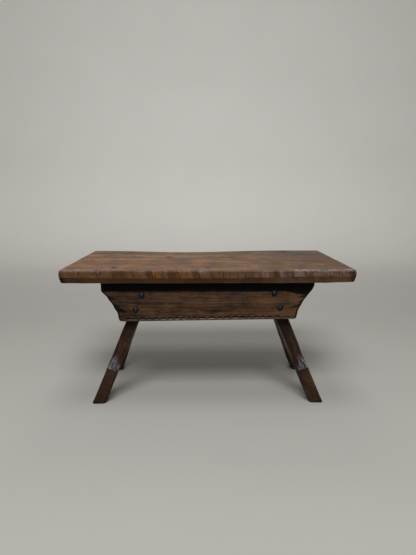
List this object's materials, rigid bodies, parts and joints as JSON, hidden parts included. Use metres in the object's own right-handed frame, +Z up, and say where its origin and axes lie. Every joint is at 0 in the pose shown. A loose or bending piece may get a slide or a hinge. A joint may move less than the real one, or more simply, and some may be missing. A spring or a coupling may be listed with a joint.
{
  "type": "oak stool",
  "caption": "Low rustic oak stool or bench: a thick hewn plank on two shaped aprons with gouged lower edges, carried on splayed legs and held by forged nails.",
  "frame": {"origin": "on the floor under the middle of the seat", "axes": "+X along the seat to the right, +Y to the back, +Z up"},
  "size_m": [0.7, 0.35, 0.3645],
  "materials": {
    "seat_oak": "old hewn oak, worn and waxed, mid brown with a soft sheen",
    "frame_oak": "dark stained and waxed oak with tool marks",
    "iron": "blue-black forged iron, rubbed smooth on the high spots"
  },
  "bodies": {
    "root": {"seat_top": "seat_oak", "front_apron": "frame_oak", "back_apron": "frame_oak", "front_left_leg": "frame_oak", "front_right_leg": "frame_oak", "back_left_leg": "frame_oak", "back_right_leg": "frame_oak", "left_cross_rail": "frame_oak", "right_cross_rail": "frame_oak", "front_left_rail_peg": "frame_oak", "front_right_rail_peg": "frame_oak", "back_left_rail_peg": "frame_oak", "back_right_rail_peg": "frame_oak", "front_left_upper_nail": "iron", "front_left_lower_nail": "iron", "front_right_upper_nail": "iron", "front_right_lower_nail": "iron", "back_left_upper_nail": "iron", "back_left_lower_nail": "iron", "back_right_upper_nail": "iron", "back_right_lower_nail": "iron", "front_left_seat_nail": "iron", "front_middle_seat_nail": "iron", "front_right_seat_nail": "iron", "back_left_seat_nail": "iron", "back_middle_seat_nail": "iron", "back_right_seat_nail": "iron"}
  },
  "joints": []
}
